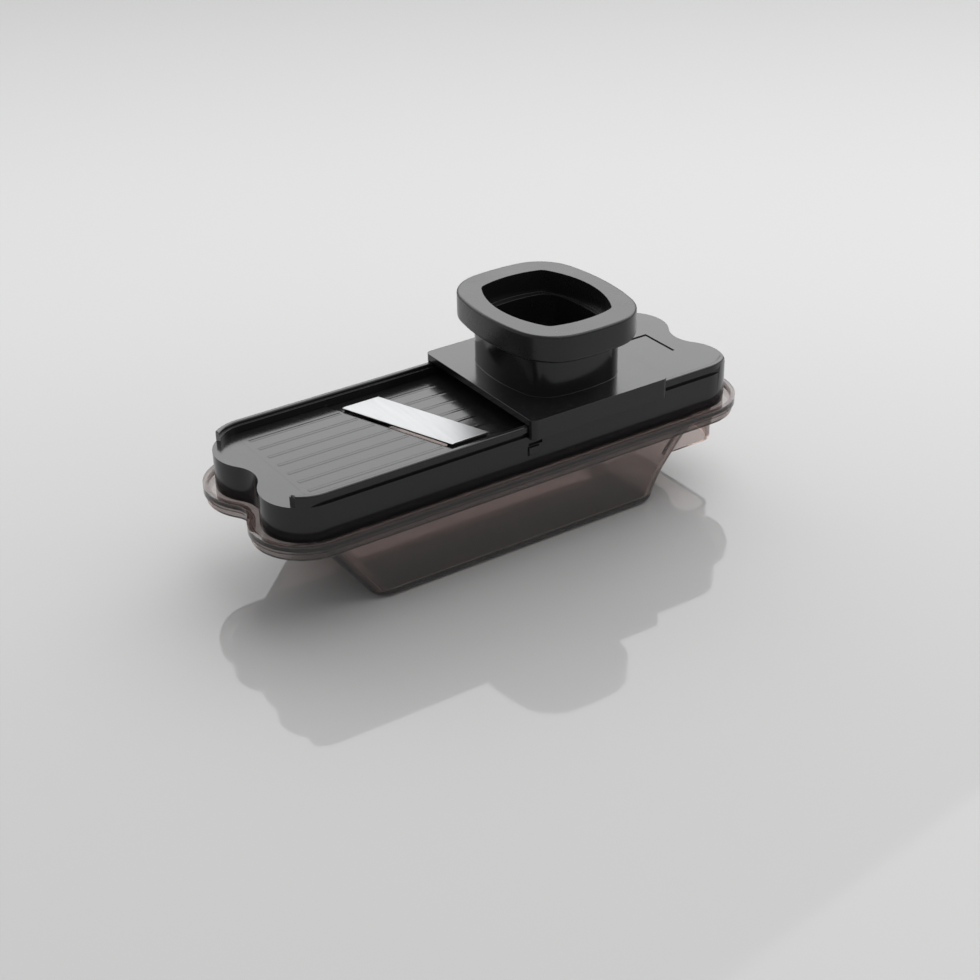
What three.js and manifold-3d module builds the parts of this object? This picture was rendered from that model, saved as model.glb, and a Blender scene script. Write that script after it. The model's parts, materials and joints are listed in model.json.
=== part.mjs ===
// Mandoline slicer with a sliding food carriage on a catch container.
// Millimetres, +Z up, +X along the rails from the ramp end to the parking end, +Y to the back.
// The origin is under the middle of the container, on the surface it stands on.
import * as THREE from "three";
import { mergeVertices } from "three/addons/utils/BufferGeometryUtils.js";
import Module from "manifold-3d";

const wasm = await Module();
wasm.setup();

// ---------- driving dimensions ----------
const GAP = 0.3; // between pieces that touch in use

const BODY_HALF_LENGTH = 119.5;
const BODY_HALF_WIDTH = 39.8;
const LOBE_RADIUS = 19.2; // the two round lobes at each end of the body
const NOTCH_RADIUS = 15.1; // the hollow between two lobes
const WALL = 2.2;
const RAIL_THICKNESS = 3.4;
const SKIN = 2; // thickness of the decks

const FOOT_Z = 41; // underside of the body
const LEDGE_Z = FOOT_Z - GAP; // top of the container's ledge, which carries the body
const RAMP_Z = 57.5; // top of the ramp, before the blade
const LANDING_Z = 59; // top of the blade and of the body's parking end
const DECK_Z = 57; // top of the landing plate, between the blade and the parking end
const RAIL_Z = 62.5;
const RAIL_END_X = 112.3;
const RAIL_LEDGE_Z = 60.9; // above this the rail is thinner on its inner side
const RAIL_LEDGE = 0.9;
const GROOVE_LOW_Z = 57.4;
const GROOVE_HIGH_Z = 59.6;
const GROOVE_DEPTH = 1.3;

const WINDOW_LEFT_X = -103.3; // the opening that the two deck plates lie in
const WINDOW_RIGHT_X = 66;
const WINDOW_HALF_Y = BODY_HALF_WIDTH - RAIL_THICKNESS;
const SEAT_Z = 55.2; // top of the seat that carries both plates
const SEAT_LOW_Z = 53;
const SEAT_REACH = 3;
const PLATE_LOW_Z = SEAT_Z + GAP;

const RIM_OFFSET = 5.5; // the rim stands out this far all round
const RIM_LOW_Z = 35.2;
const RIM_STEP_Z = 38.6;
const RIM_STEP = 1.1; // the lower tier is this much smaller
const LIP_Z = 42.3;
const LIP_THICKNESS = 2;
const LEDGE_THICKNESS = 2;

const TUB_WALL = 2;
const TUB_FLOOR = 2.4;
const TUB_TOP_HALF_Y = 38.6;
const TUB_BASE_HALF_Y = 37.4;
const TUB_BASE_LEFT_X = -76;
const TUB_BASE_RIGHT_X = 73;
const TUB_TOP_LEFT_X = -106;
const TUB_TOP_RIGHT_X = 99;
const TUB_CORNER = 7;
const TUB_SWEEP_LOW = [2.5, 16]; // the parking end leaves the base steeply
const TUB_SWEEP_HIGH = [-10, 24]; // and curves out under the rim

const GRIP_RIGHT_X = 114.5; // finger grip under the rim at the parking end
const GRIP_LEFT_X = 78;
const GRIP_HALF_Y = 31;
const GRIP_LOW_Z = 18.5;
const GRIP_WALL = 2;
const GRIP_CORNER = 9;

const COLLAR_X = [-100.5, 91.5]; // the body's collar drops into the container's mouth
const COLLAR_HALF_Y = 36.2;
const COLLAR_LOW_Z = 38.5;
const COLLAR_WALL = 1.6;
const COLLAR_CORNER = 6;

const RIB_COUNT = 7;
const RIB_PITCH = 8.8;
const RIB_WIDTH = 1.6;
const RIB_HEIGHT = 0.45;
const RIB_LEFT_X = -101;
const LANDING_RIB_HEIGHT = 0.27;
const PANEL_X = [69, 103]; // shallow panel sunk in the parking end
const PANEL_HALF_Y = 11;
const PANEL_DEPTH = 0.5;

const BLADE_LEAN = 0.375; // how far the edge runs in X for each millimetre in Y
const BLADE_EDGE_X = -43.1; // where the edges cross the middle of the deck
const BLADE_BACK_X = -24.4;
const BLADE_THICKNESS = 0.8;
const BLADE_BEVEL = 1.6;
const BLADE_OVERHANG = 4; // the edge reaches this far past its support
const THROAT = 1.2; // opening between the ramp and the blade's edge
const BLADE_HALF_Y = 28.5;

const CARRIAGE_LEFT_X = -0.8;
const CARRIAGE_RIGHT_X = 73.4;
const CARRIAGE_HALF_Y = 43.3;
const CARRIAGE_TOP_Z = 65.9;
const CARRIAGE_LOW_Z = RAIL_Z + GAP;
const SKIRT_LOW_Z = 56.4;
const HOOK_LOW_Z = GROOVE_LOW_Z + 0.4;
const HOOK_HIGH_Z = GROOVE_HIGH_Z - 0.4;
const HOOK_REACH = 1; // into the groove
const CARRIAGE_CORNER = 3;

const CHUTE_X = 36.7; // middle of the chute and of the plunger
const CHUTE_HALF_X = 27.3;
const CHUTE_HALF_Y = 30.9;
const CHUTE_WALL = 2.5;
const CHUTE_CORNER = 15;
const CHUTE_SIDE_RADIUS = 80; // each face bulges on this radius
const CHUTE_TOP_Z = 86;
const CHUTE_LOW_Z = 59.7;

const HEAD_HALF_X = 33.3;
const HEAD_HALF_Y = 40.8;
const HEAD_CORNER = 22;
const HEAD_SIDE_RADIUS = 105;
const HEAD_LOW_Z = CHUTE_TOP_Z + GAP;
const HEAD_TOP_Z = 99.1;
const HEAD_SKIN = 2.2;
const WELL_HALF_X = 24.4; // the well in the plunger's head
const WELL_HALF_Y = 29.4;
const WELL_CORNER = 5;
const WELL_SIDE_RADIUS = 50;
const WELL_WALL = 2.2;
const WELL_FLOOR_Z = 88.3; // the step from the well down into the sleeve
const SLEEVE_CLEARANCE = 0.5;
const SLEEVE_WALL = 2.2;
const SLEEVE_LOW_Z = 64.2;
const SLEEVE_FLOOR = 2;

const PUSHER_TOP_Z = SLEEVE_LOW_Z - GAP;
const PUSHER_LOW_Z = 61.5;
const SPIKE_LOW_Z = 59.9;
const SPIKE_PITCH = 7.4;
const SPIKE_HALF = 1.1;
const SPIKE_ROWS_X = 5;
const SPIKE_ROWS_Y = 6;

const CATCH_X = 2;
const CATCH_Z = 50.2;
const CATCH_HALF_X = 2.7;
const CATCH_HALF_Z = 1.9;
const CATCH_PROUD = 0.8;
const CATCH_FLANGE = 0.6; // how far the flange reaches round the button
const CATCH_FLANGE_THICKNESS = 1.3;
const CATCH_LEG_LOW_Z = 36;
const CATCH_LEG_THICKNESS = 1.4;
const CATCH_TRAVEL = 2;
const DISH_HALF_X = 3.6; // thumb hollow above each catch
const DISH_LOW_Z = 52.7;
const DISH_HIGH_Z = 55.8;
const DISH_DEPTH = 1;
const SPRING_SEAT_DEPTH = 11; // from the body's side to the wall that backs the spring
const SPRING_SEAT_HALF_X = 5;
const SPRING_RADIUS = 1.4;
const SPRING_WIRE = 0.3;
const SPRING_TURNS = 5;

const SCREW_SHANK_RADIUS = 1.2;
const SCREW_HOLE_RADIUS = 1.55;
const SCREW_HEAD_RADIUS = 2.5;
const SCREW_HEAD_HEIGHT = 1.6;
const SLOT_DEPTH = 0.8;
const SLOT_HALF = 1.5;
const SLOT_WIDTH = 0.6;
const BOSS_RADIUS = 4;

// ---------- solids from three.js geometry ----------
function solidOf(geometry) {
  const bare = geometry.index ? geometry.toNonIndexed() : geometry.clone();
  bare.deleteAttribute("normal");
  bare.deleteAttribute("uv");
  const merged = mergeVertices(bare, 1e-4);
  return new wasm.Manifold(
    new wasm.Mesh({
      numProp: 3,
      vertProperties: merged.attributes.position.array,
      triVerts: new Uint32Array(merged.index.array),
    }),
  );
}

function geometryOf(solid) {
  const mesh = solid.getMesh();
  const geometry = new THREE.BufferGeometry();
  geometry.setAttribute("position", new THREE.BufferAttribute(mesh.vertProperties, 3));
  geometry.setIndex(new THREE.BufferAttribute(mesh.triVerts, 1));
  geometry.computeVertexNormals();
  return geometry;
}

function box(x0, x1, y0, y1, z0, z1) {
  const block = new THREE.BoxGeometry(x1 - x0, y1 - y0, z1 - z0);
  return solidOf(block.translate((x0 + x1) / 2, (y0 + y1) / 2, (z0 + z1) / 2));
}

// A flat outline in the XY plane, made solid from z0 to z1.
function upright(shape, z0, z1, curveSegments = 8) {
  const slab = new THREE.ExtrudeGeometry(shape, { depth: z1 - z0, bevelEnabled: false, curveSegments });
  return solidOf(slab.translate(0, 0, z0));
}

// A side view in the XZ plane, made deep from -halfY to halfY.
function crosswiseSlab(shape, halfY, curveSegments = 8) {
  const slab = new THREE.ExtrudeGeometry(shape, { depth: 2 * halfY, bevelEnabled: false, curveSegments });
  const turn = new THREE.Matrix4().makeBasis(
    new THREE.Vector3(1, 0, 0),
    new THREE.Vector3(0, 0, 1),
    new THREE.Vector3(0, -1, 0),
  );
  return slab.applyMatrix4(turn).translate(0, halfY, 0);
}

// An end view in the YZ plane, made solid from x0 to x1.
function lengthwise(shape, x0, x1, curveSegments = 8) {
  const slab = new THREE.ExtrudeGeometry(shape, { depth: x1 - x0, bevelEnabled: false, curveSegments });
  const turn = new THREE.Matrix4().makeBasis(
    new THREE.Vector3(0, 1, 0),
    new THREE.Vector3(0, 0, 1),
    new THREE.Vector3(1, 0, 0),
  );
  return solidOf(slab.applyMatrix4(turn).translate(x0, 0, 0));
}

function post(x, y, z0, z1, radius, sides = 20) {
  const stub = new THREE.CylinderGeometry(radius, radius, z1 - z0, sides);
  return solidOf(stub.rotateX(Math.PI / 2).translate(x, y, (z0 + z1) / 2));
}

function polygon(points) {
  return new THREE.Shape(points.map(([x, y]) => new THREE.Vector2(x, y)));
}

// ---------- outlines ----------
// Two round lobes at each end with a hollow between them, and straight long sides.
// A positive offset grows the outline evenly all round.
function lobedOutline(offset) {
  const lobeX = BODY_HALF_LENGTH - LOBE_RADIUS;
  const lobeY = BODY_HALF_WIDTH - LOBE_RADIUS;
  const reach = LOBE_RADIUS + NOTCH_RADIUS;
  const notchX = lobeX + Math.sqrt(reach * reach - lobeY * lobeY);
  const meet = Math.asin(lobeY / reach);
  const lobe = LOBE_RADIUS + offset;
  const notch = NOTCH_RADIUS - offset;
  const shape = new THREE.Shape();
  shape.moveTo(-lobeX, -lobeY - lobe);
  shape.lineTo(lobeX, -lobeY - lobe);
  shape.absarc(lobeX, -lobeY, lobe, -Math.PI / 2, meet, false);
  shape.absarc(notchX, 0, notch, Math.PI + meet, Math.PI - meet, true);
  shape.absarc(lobeX, lobeY, lobe, -meet, Math.PI / 2, false);
  shape.lineTo(-lobeX, lobeY + lobe);
  shape.absarc(-lobeX, lobeY, lobe, Math.PI / 2, Math.PI + meet, false);
  shape.absarc(-notchX, 0, notch, meet, -meet, true);
  shape.absarc(-lobeX, -lobeY, lobe, Math.PI - meet, 1.5 * Math.PI, false);
  return shape;
}

// A rectangle with round corners whose four sides bulge on large arcs, all tangent to each other.
function bowedOutline(middleX, halfX, halfY, corner, sideRadius) {
  const sideX = halfX - sideRadius;
  const sideY = halfY - sideRadius;
  const spread = Math.hypot(sideX, sideY);
  const reach = Math.sqrt((sideRadius - corner) ** 2 - (spread / 2) ** 2) / spread;
  const cornerX = sideX / 2 - sideY * reach;
  const cornerY = sideY / 2 - sideX * reach;
  const low = Math.atan2(cornerY, cornerX - sideX);
  const high = Math.atan2(cornerY - sideY, cornerX);
  const shape = new THREE.Shape();
  for (const half of [0, Math.PI]) {
    const turn = half === 0 ? 1 : -1;
    shape.absarc(middleX + turn * sideX, 0, sideRadius, half - low, half + low, false);
    shape.absarc(middleX + turn * cornerX, turn * cornerY, corner, half + low, half + high, false);
    shape.absarc(middleX, turn * sideY, sideRadius, half + high, half + Math.PI - high, false);
    shape.absarc(
      middleX - turn * cornerX,
      turn * cornerY,
      corner,
      half + Math.PI - high,
      half + Math.PI - low,
      false,
    );
  }
  return shape;
}

function roundedOutline(x0, x1, y0, y1, corner) {
  const shape = new THREE.Shape();
  shape.moveTo(x0 + corner, y0);
  shape.lineTo(x1 - corner, y0);
  shape.absarc(x1 - corner, y0 + corner, corner, -Math.PI / 2, 0, false);
  shape.lineTo(x1, y1 - corner);
  shape.absarc(x1 - corner, y1 - corner, corner, 0, Math.PI / 2, false);
  shape.lineTo(x0 + corner, y1);
  shape.absarc(x0 + corner, y1 - corner, corner, Math.PI / 2, Math.PI, false);
  shape.lineTo(x0, y0 + corner);
  shape.absarc(x0 + corner, y0 + corner, corner, Math.PI, 1.5 * Math.PI, false);
  return shape;
}

// ---------- container ----------
// Side view of the tub: a straight sloping wall at the ramp end and one that curves out at the other.
function tubSide(inset, floor, top) {
  const shape = new THREE.Shape();
  shape.moveTo(TUB_BASE_LEFT_X + inset, floor);
  shape.lineTo(TUB_BASE_RIGHT_X - inset, floor);
  const [lowX, lowZ] = TUB_SWEEP_LOW;
  const [highX, highZ] = TUB_SWEEP_HIGH;
  const base = TUB_BASE_RIGHT_X - inset;
  const mouth = TUB_TOP_RIGHT_X - inset;
  shape.bezierCurveTo(base + lowX, lowZ, mouth + highX, highZ, mouth, top);
  shape.lineTo(TUB_TOP_LEFT_X + inset, top);
  return shape;
}

function tubEnd(inset, floor, top) {
  const base = TUB_BASE_HALF_Y - inset;
  const mouth = TUB_TOP_HALF_Y - inset;
  const round = 3;
  const shape = new THREE.Shape();
  shape.moveTo(-base + round, floor);
  shape.lineTo(base - round, floor);
  shape.quadraticCurveTo(base, floor, base, floor + round);
  shape.lineTo(mouth, top);
  shape.lineTo(-mouth, top);
  shape.lineTo(-base, floor + round);
  shape.quadraticCurveTo(-base, floor, -base + round, floor);
  return shape;
}

function tubForm(inset, floor, top) {
  const halfY = TUB_TOP_HALF_Y - inset;
  const left = TUB_TOP_LEFT_X + inset;
  const right = TUB_TOP_RIGHT_X - inset;
  const side = solidOf(crosswiseSlab(tubSide(inset, floor, top), halfY + 1));
  const end = lengthwise(tubEnd(inset, floor, top), left - 1, right + 1, 4);
  const plan = upright(roundedOutline(left, right, -halfY, halfY, TUB_CORNER), floor - 1, top + 1, 5);
  return side.intersect(end).intersect(plan);
}

function gripSkirt() {
  const outer = roundedOutline(GRIP_LEFT_X - 20, GRIP_RIGHT_X, -GRIP_HALF_Y, GRIP_HALF_Y, GRIP_CORNER);
  const inner = roundedOutline(
    GRIP_LEFT_X - 30,
    GRIP_RIGHT_X - GRIP_WALL,
    -GRIP_HALF_Y + GRIP_WALL,
    GRIP_HALF_Y - GRIP_WALL,
    GRIP_CORNER - GRIP_WALL,
  );
  const top = LEDGE_Z - LEDGE_THICKNESS + 0.5;
  return upright(outer, GRIP_LOW_Z, top, 5).subtract(upright(inner, GRIP_LOW_Z - 1, top + 1, 5));
}

function container() {
  const ledgeLow = LEDGE_Z - LEDGE_THICKNESS;
  const upperTier = upright(lobedOutline(RIM_OFFSET), RIM_STEP_Z, LIP_Z);
  const lowerTier = upright(lobedOutline(RIM_OFFSET - RIM_STEP), RIM_LOW_Z, ledgeLow);
  const lipHollow = upright(lobedOutline(RIM_OFFSET - LIP_THICKNESS), LEDGE_Z, LIP_Z + 1);
  const underHollow = upright(lobedOutline(RIM_OFFSET - RIM_STEP - LIP_THICKNESS), RIM_LOW_Z - 1, ledgeLow);
  const rim = upperTier.add(lowerTier).subtract(lipHollow).subtract(underHollow);
  const outer = tubForm(0, 0, LEDGE_Z - 0.5);
  const hollow = tubForm(TUB_WALL, TUB_FLOOR, LEDGE_Z + 2);
  const grip = gripSkirt().subtract(outer);
  return rim.add(grip).add(outer).subtract(hollow);
}

// ---------- slicer body ----------
const LEG_FAR = TUB_TOP_HALF_Y - TUB_WALL - 0.6; // outer face of each catch's leg, inside the container

const SCREW_PLACES = [
  [-97, -30.6],
  [-97, 30.6],
  [-58, -30.6],
  [-76, 30.6],
  [16, -30.6],
  [-20, 30.6],
  [60, -30.6],
  [60, 30.6],
];
const RAMP_SCREWS = SCREW_PLACES.slice(0, 4);
const LANDING_SCREWS = SCREW_PLACES.slice(4);

// A box between two distances from the middle plane, on the front (side -1) or the back (side 1).
function sideBox(side, x0, x1, near, far, z0, z1) {
  return box(x0, x1, Math.min(side * near, side * far), Math.max(side * near, side * far), z0, z1);
}

function lobedRing(offset, thickness, z0, z1) {
  return upright(lobedOutline(offset), z0, z1).subtract(
    upright(lobedOutline(offset - thickness), z0 - 1, z1 + 1),
  );
}

// The skin over both ends, open in the middle where the deck plates lie on their seat.
function endSkins() {
  const beyond = BODY_HALF_LENGTH + 1;
  const wide = BODY_HALF_WIDTH + 1;
  const block = upright(lobedOutline(0), SEAT_LOW_Z, LANDING_Z);
  const window = box(WINDOW_LEFT_X, WINDOW_RIGHT_X, -WINDOW_HALF_Y, WINDOW_HALF_Y, SEAT_Z, LANDING_Z + 1);
  const seatHole = box(
    WINDOW_LEFT_X + SEAT_REACH,
    WINDOW_RIGHT_X - SEAT_REACH,
    -WINDOW_HALF_Y + SEAT_REACH,
    WINDOW_HALF_Y - SEAT_REACH,
    SEAT_LOW_Z - 1,
    SEAT_Z + 1,
  );
  const aboveRamp = box(-beyond, WINDOW_LEFT_X + 1, -wide, wide, RAMP_Z, LANDING_Z + 1);
  const within = upright(lobedOutline(-WALL), SEAT_LOW_Z - 1, LANDING_Z + 1);
  const underRamp = within.intersect(
    box(-beyond, WINDOW_LEFT_X - SKIN, -wide, wide, SEAT_LOW_Z - 1, RAMP_Z - SKIN),
  );
  const underLanding = within.intersect(
    box(WINDOW_RIGHT_X + SKIN, beyond, -wide, wide, SEAT_LOW_Z - 1, LANDING_Z - SKIN),
  );
  return block.subtract(aboveRamp).subtract(underRamp).subtract(underLanding).subtract(window).subtract(seatHole);
}

function rails() {
  const ends = box(-RAIL_END_X, RAIL_END_X, -BODY_HALF_WIDTH - 1, BODY_HALF_WIDTH + 1, SEAT_Z, RAIL_Z + 1);
  const lobeMiddle = BODY_HALF_WIDTH - LOBE_RADIUS;
  const between = box(-BODY_HALF_LENGTH, BODY_HALF_LENGTH, -lobeMiddle, lobeMiddle, SEAT_Z - 1, RAIL_Z + 1);
  const inner = upright(lobedOutline(RAIL_LEDGE - RAIL_THICKNESS), RAIL_LEDGE_Z, RAIL_Z + 1);
  return lobedRing(0, RAIL_THICKNESS, SEAT_Z, RAIL_Z).intersect(ends).subtract(between).subtract(inner);
}

// A flange inside the body's foot with a collar under it, which centres the body on the container.
function collar() {
  const [x0, x1] = COLLAR_X;
  const high = FOOT_Z + COLLAR_WALL;
  const plan = (inset) =>
    roundedOutline(
      x0 + inset,
      x1 - inset,
      inset - COLLAR_HALF_Y,
      COLLAR_HALF_Y - inset,
      COLLAR_CORNER - inset,
    );
  return upright(lobedOutline(-1), FOOT_Z, high)
    .add(upright(plan(0), COLLAR_LOW_Z, high, 4))
    .subtract(upright(plan(COLLAR_WALL), COLLAR_LOW_Z - 1, high + 1, 4));
}

// The wall that backs a catch's spring, hung from the plates' seat.
function springSeat(side) {
  const far = BODY_HALF_WIDTH - SPRING_SEAT_DEPTH;
  const left = CATCH_X - SPRING_SEAT_HALF_X;
  const right = CATCH_X + SPRING_SEAT_HALF_X;
  const wall = sideBox(side, left, right, far - 1.8, far, CATCH_Z - 3, SEAT_Z);
  const shelf = sideBox(side, left, right, far - 1.8, WINDOW_HALF_Y, SEAT_LOW_Z + 0.4, SEAT_Z);
  return wall.add(shelf);
}

function catchOpenings(side) {
  const hole = sideBox(
    side,
    CATCH_X - CATCH_HALF_X - GAP,
    CATCH_X + CATCH_HALF_X + GAP,
    BODY_HALF_WIDTH - WALL - 1,
    BODY_HALF_WIDTH + 1,
    CATCH_Z - CATCH_HALF_Z - GAP,
    CATCH_Z + CATCH_HALF_Z + GAP,
  );
  const dish = sideBox(
    side,
    CATCH_X - DISH_HALF_X + 1,
    CATCH_X + DISH_HALF_X + 1,
    BODY_HALF_WIDTH - DISH_DEPTH,
    BODY_HALF_WIDTH + 1,
    DISH_LOW_Z,
    DISH_HIGH_Z,
  );
  const legSlot = sideBox(
    side,
    CATCH_X - CATCH_HALF_X - GAP,
    CATCH_X + CATCH_HALF_X + GAP,
    LEG_FAR - CATCH_LEG_THICKNESS - CATCH_TRAVEL - GAP,
    LEG_FAR + GAP,
    COLLAR_LOW_Z - 1,
    FOOT_Z + COLLAR_WALL + 1,
  );
  return hole.add(dish).add(legSlot);
}

function groove(side) {
  return sideBox(
    side,
    -BODY_HALF_LENGTH,
    BODY_HALF_LENGTH,
    BODY_HALF_WIDTH - GROOVE_DEPTH,
    BODY_HALF_WIDTH + 1,
    GROOVE_LOW_Z,
    GROOVE_HIGH_Z,
  );
}

function bodyFrame() {
  const wall = lobedRing(0, WALL, FOOT_Z, SEAT_LOW_Z + 0.5);
  let body = endSkins().add(wall).add(collar()).add(rails());
  for (const side of [-1, 1]) {
    body = body.add(springSeat(side)).subtract(groove(side)).subtract(catchOpenings(side));
  }
  for (const [x, y] of SCREW_PLACES) {
    body = body.add(post(x, y, SEAT_LOW_Z, SEAT_Z, BOSS_RADIUS));
    body = body.subtract(post(x, y, SEAT_LOW_Z - 1, SEAT_Z + 1, SCREW_HOLE_RADIUS));
  }
  return body.subtract(box(...PANEL_X, -PANEL_HALF_Y, PANEL_HALF_Y, LANDING_Z - PANEL_DEPTH, LANDING_Z + 1));
}

// ---------- deck plates and blade ----------
// A strip of the deck; a leaning end follows the blade.
function strip(x0, leanLeft, x1, leanRight, halfY) {
  return polygon([
    [x0 + leanLeft * halfY, -halfY],
    [x1 + leanRight * halfY, -halfY],
    [x1 - leanRight * halfY, halfY],
    [x0 - leanLeft * halfY, halfY],
  ]);
}

function withBlindHoles(plate, places) {
  return places.reduce(
    (rest, [x, y]) => rest.subtract(post(x, y, PLATE_LOW_Z - 1, PLATE_LOW_Z + 1.2, SCREW_HOLE_RADIUS)),
    plate,
  );
}

function rib(y, x0, x1, foot, top) {
  const end = RIB_WIDTH / 2 - 0.02;
  return upright(roundedOutline(x0, x1, y - RIB_WIDTH / 2, y + RIB_WIDTH / 2, end), foot - 0.2, top, 3);
}

function ribRows() {
  return Array.from({ length: RIB_COUNT }, (_, i) => (i - (RIB_COUNT - 1) / 2) * RIB_PITCH);
}

function rampPlate() {
  const edgeX = BLADE_EDGE_X - THROAT;
  const outline = strip(WINDOW_LEFT_X + GAP, 0, edgeX, BLADE_LEAN, WINDOW_HALF_Y - GAP);
  let plate = upright(outline, PLATE_LOW_Z, RAMP_Z);
  for (const y of ribRows()) {
    plate = plate.add(rib(y, RIB_LEFT_X, edgeX - BLADE_LEAN * y - 1.5, RAMP_Z, RAMP_Z + RIB_HEIGHT));
  }
  return withBlindHoles(plate, RAMP_SCREWS);
}

// The blade lies on a raised seat, and its edge reaches out over the mouth.
function landingPlate() {
  const halfY = WINDOW_HALF_Y - GAP;
  const front = BLADE_EDGE_X - 3;
  const support = BLADE_EDGE_X + BLADE_OVERHANG;
  const seatZ = LANDING_Z - BLADE_THICKNESS - GAP;
  const outline = strip(BLADE_EDGE_X, BLADE_LEAN, WINDOW_RIGHT_X - GAP, 0, halfY);
  const seat = strip(BLADE_EDGE_X + 0.5, BLADE_LEAN, BLADE_BACK_X - 0.5, BLADE_LEAN, BLADE_HALF_Y - 0.5);
  const mouth = strip(front, BLADE_LEAN, support, BLADE_LEAN, BLADE_HALF_Y - 3);
  let plate = upright(outline, PLATE_LOW_Z, DECK_Z)
    .add(upright(seat, PLATE_LOW_Z, seatZ))
    .subtract(upright(mouth, PLATE_LOW_Z - 1, LANDING_Z));
  for (const y of ribRows()) {
    const start = BLADE_BACK_X - BLADE_LEAN * y + 2.5;
    plate = plate.add(rib(y, start, WINDOW_RIGHT_X - 3, DECK_Z, DECK_Z + LANDING_RIB_HEIGHT));
  }
  return withBlindHoles(plate, LANDING_SCREWS);
}

// Ground on its underside, and sheared so that the edge crosses the deck at a slant.
function blade() {
  const low = LANDING_Z - BLADE_THICKNESS;
  const section = polygon([
    [BLADE_EDGE_X, LANDING_Z],
    [BLADE_EDGE_X, LANDING_Z - 0.1],
    [BLADE_EDGE_X + BLADE_BEVEL, low],
    [BLADE_BACK_X, low],
    [BLADE_BACK_X, LANDING_Z],
  ]);
  const slant = new THREE.Matrix4().makeShear(0, 0, -BLADE_LEAN, 0, 0, 0);
  return solidOf(crosswiseSlab(section, BLADE_HALF_Y).applyMatrix4(slant));
}

function screw(x, y, headFar, headNear, tip) {
  const inward = Math.sign(tip - headNear);
  const head = post(x, y, Math.min(headFar, headNear), Math.max(headFar, headNear), SCREW_HEAD_RADIUS, 16);
  const start = headNear - 0.5 * inward;
  const shank = post(x, y, Math.min(start, tip), Math.max(start, tip), SCREW_SHANK_RADIUS, 12);
  const slotEnd = headFar + SLOT_DEPTH * inward;
  const outside = headFar - inward;
  const low = Math.min(slotEnd, outside);
  const high = Math.max(slotEnd, outside);
  const across = box(x - SLOT_HALF, x + SLOT_HALF, y - SLOT_WIDTH / 2, y + SLOT_WIDTH / 2, low, high);
  const along = box(x - SLOT_WIDTH / 2, x + SLOT_WIDTH / 2, y - SLOT_HALF, y + SLOT_HALF, low, high);
  return head.add(shank).subtract(across).subtract(along);
}

function deckScrew([x, y]) {
  const near = SEAT_LOW_Z - GAP;
  return screw(x, y, near - SCREW_HEAD_HEIGHT, near, PLATE_LOW_Z + 0.9);
}

// ---------- carriage ----------
function carriage() {
  const halfY = CARRIAGE_HALF_Y;
  const plan = roundedOutline(CARRIAGE_LEFT_X, CARRIAGE_RIGHT_X, -halfY, halfY, CARRIAGE_CORNER);
  const inside = BODY_HALF_WIDTH + GAP;
  const solid = upright(plan, SKIRT_LOW_Z, CARRIAGE_TOP_Z, 4);
  const left = CARRIAGE_LEFT_X - 1;
  const right = CARRIAGE_RIGHT_X + 1;
  let shell = solid.subtract(box(left, right, -inside, inside, SKIRT_LOW_Z - 1, CARRIAGE_LOW_Z));
  for (const side of [-1, 1]) {
    shell = shell.add(
      sideBox(
        side,
        CARRIAGE_LEFT_X + CARRIAGE_CORNER,
        CARRIAGE_RIGHT_X - CARRIAGE_CORNER,
        BODY_HALF_WIDTH - HOOK_REACH,
        inside + 0.5,
        HOOK_LOW_Z,
        HOOK_HIGH_Z,
      ),
    );
  }
  const outer = bowedOutline(CHUTE_X, CHUTE_HALF_X, CHUTE_HALF_Y, CHUTE_CORNER, CHUTE_SIDE_RADIUS);
  const inner = insetBow(CHUTE_HALF_X, CHUTE_HALF_Y, CHUTE_CORNER, CHUTE_SIDE_RADIUS, CHUTE_WALL);
  return shell
    .add(upright(outer, CHUTE_LOW_Z, CHUTE_TOP_Z, 4))
    .subtract(upright(inner, CHUTE_LOW_Z - 1, CHUTE_TOP_Z + 1, 4));
}

// A bowed outline moved in from another by the same distance all round.
function insetBow(halfX, halfY, corner, sideRadius, inset) {
  return bowedOutline(CHUTE_X, halfX - inset, halfY - inset, corner - inset, sideRadius - inset);
}

// ---------- plunger ----------
function plungerBody() {
  const toSleeve = CHUTE_WALL + SLEEVE_CLEARANCE;
  const head = bowedOutline(CHUTE_X, HEAD_HALF_X, HEAD_HALF_Y, HEAD_CORNER, HEAD_SIDE_RADIUS);
  const headHollow = insetBow(HEAD_HALF_X, HEAD_HALF_Y, HEAD_CORNER, HEAD_SIDE_RADIUS, HEAD_SKIN);
  const sleeve = insetBow(CHUTE_HALF_X, CHUTE_HALF_Y, CHUTE_CORNER, CHUTE_SIDE_RADIUS, toSleeve);
  const inner = insetBow(CHUTE_HALF_X, CHUTE_HALF_Y, CHUTE_CORNER, CHUTE_SIDE_RADIUS, toSleeve + SLEEVE_WALL);
  const well = [WELL_HALF_X, WELL_HALF_Y, WELL_CORNER, WELL_SIDE_RADIUS];
  let body = upright(head, HEAD_LOW_Z, HEAD_TOP_Z, 5);
  body = body.subtract(upright(headHollow, HEAD_LOW_Z - 1, HEAD_TOP_Z - HEAD_SKIN, 5));
  body = body.add(headRibs()).add(upright(sleeve, SLEEVE_LOW_Z, WELL_FLOOR_Z, 4));
  body = body.add(upright(insetBow(...well, -WELL_WALL), HEAD_LOW_Z, HEAD_TOP_Z - 1, 4));
  body = body.subtract(upright(inner, SLEEVE_LOW_Z + SLEEVE_FLOOR, WELL_FLOOR_Z + 0.5, 4));
  body = body.subtract(upright(insetBow(...well, 0), WELL_FLOOR_Z, HEAD_TOP_Z + 1, 4));
  for (const [x, y] of PUSHER_SCREWS) {
    body = body.subtract(post(x, y, SLEEVE_LOW_Z - 1, SLEEVE_LOW_Z + SLEEVE_FLOOR + 1, SCREW_HOLE_RADIUS));
  }
  return body;
}

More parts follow.
